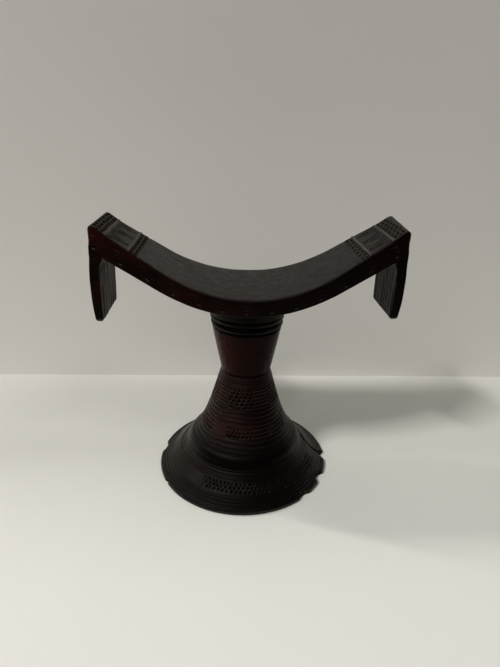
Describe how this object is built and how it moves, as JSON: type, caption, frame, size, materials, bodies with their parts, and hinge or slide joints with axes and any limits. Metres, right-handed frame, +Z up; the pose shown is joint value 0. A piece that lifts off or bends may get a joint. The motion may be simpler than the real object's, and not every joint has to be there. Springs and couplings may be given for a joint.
{
  "type": "carved wooden headrest",
  "caption": "Carved wooden headrest: a bowed saddle with hanging end lugs on a ringed round pillar with a flared foot.",
  "frame": {"origin": "centre of the foot's underside, on the pillar's axis", "axes": "+Z up along the pillar, +X along the saddle towards the lug above the foot's drying split, +Y towards the back"},
  "size_m": [0.1806, 0.116, 0.1665],
  "materials": {
    "saddle_wood": "dark, worn matt on top, polished on the sides",
    "lug_wood": "dark, tool-marked",
    "ring_wood": "dark red-brown, satin",
    "neck_wood": "deep red-brown, polished by handling",
    "foot_wood": "dark brown, satin, worn at the rim"
  },
  "bodies": {
    "root": {"saddle": "saddle_wood", "left_lug": "lug_wood", "right_lug": "lug_wood", "collar": "ring_wood", "neck": "neck_wood", "stem": "ring_wood", "foot": "foot_wood"}
  },
  "joints": []
}
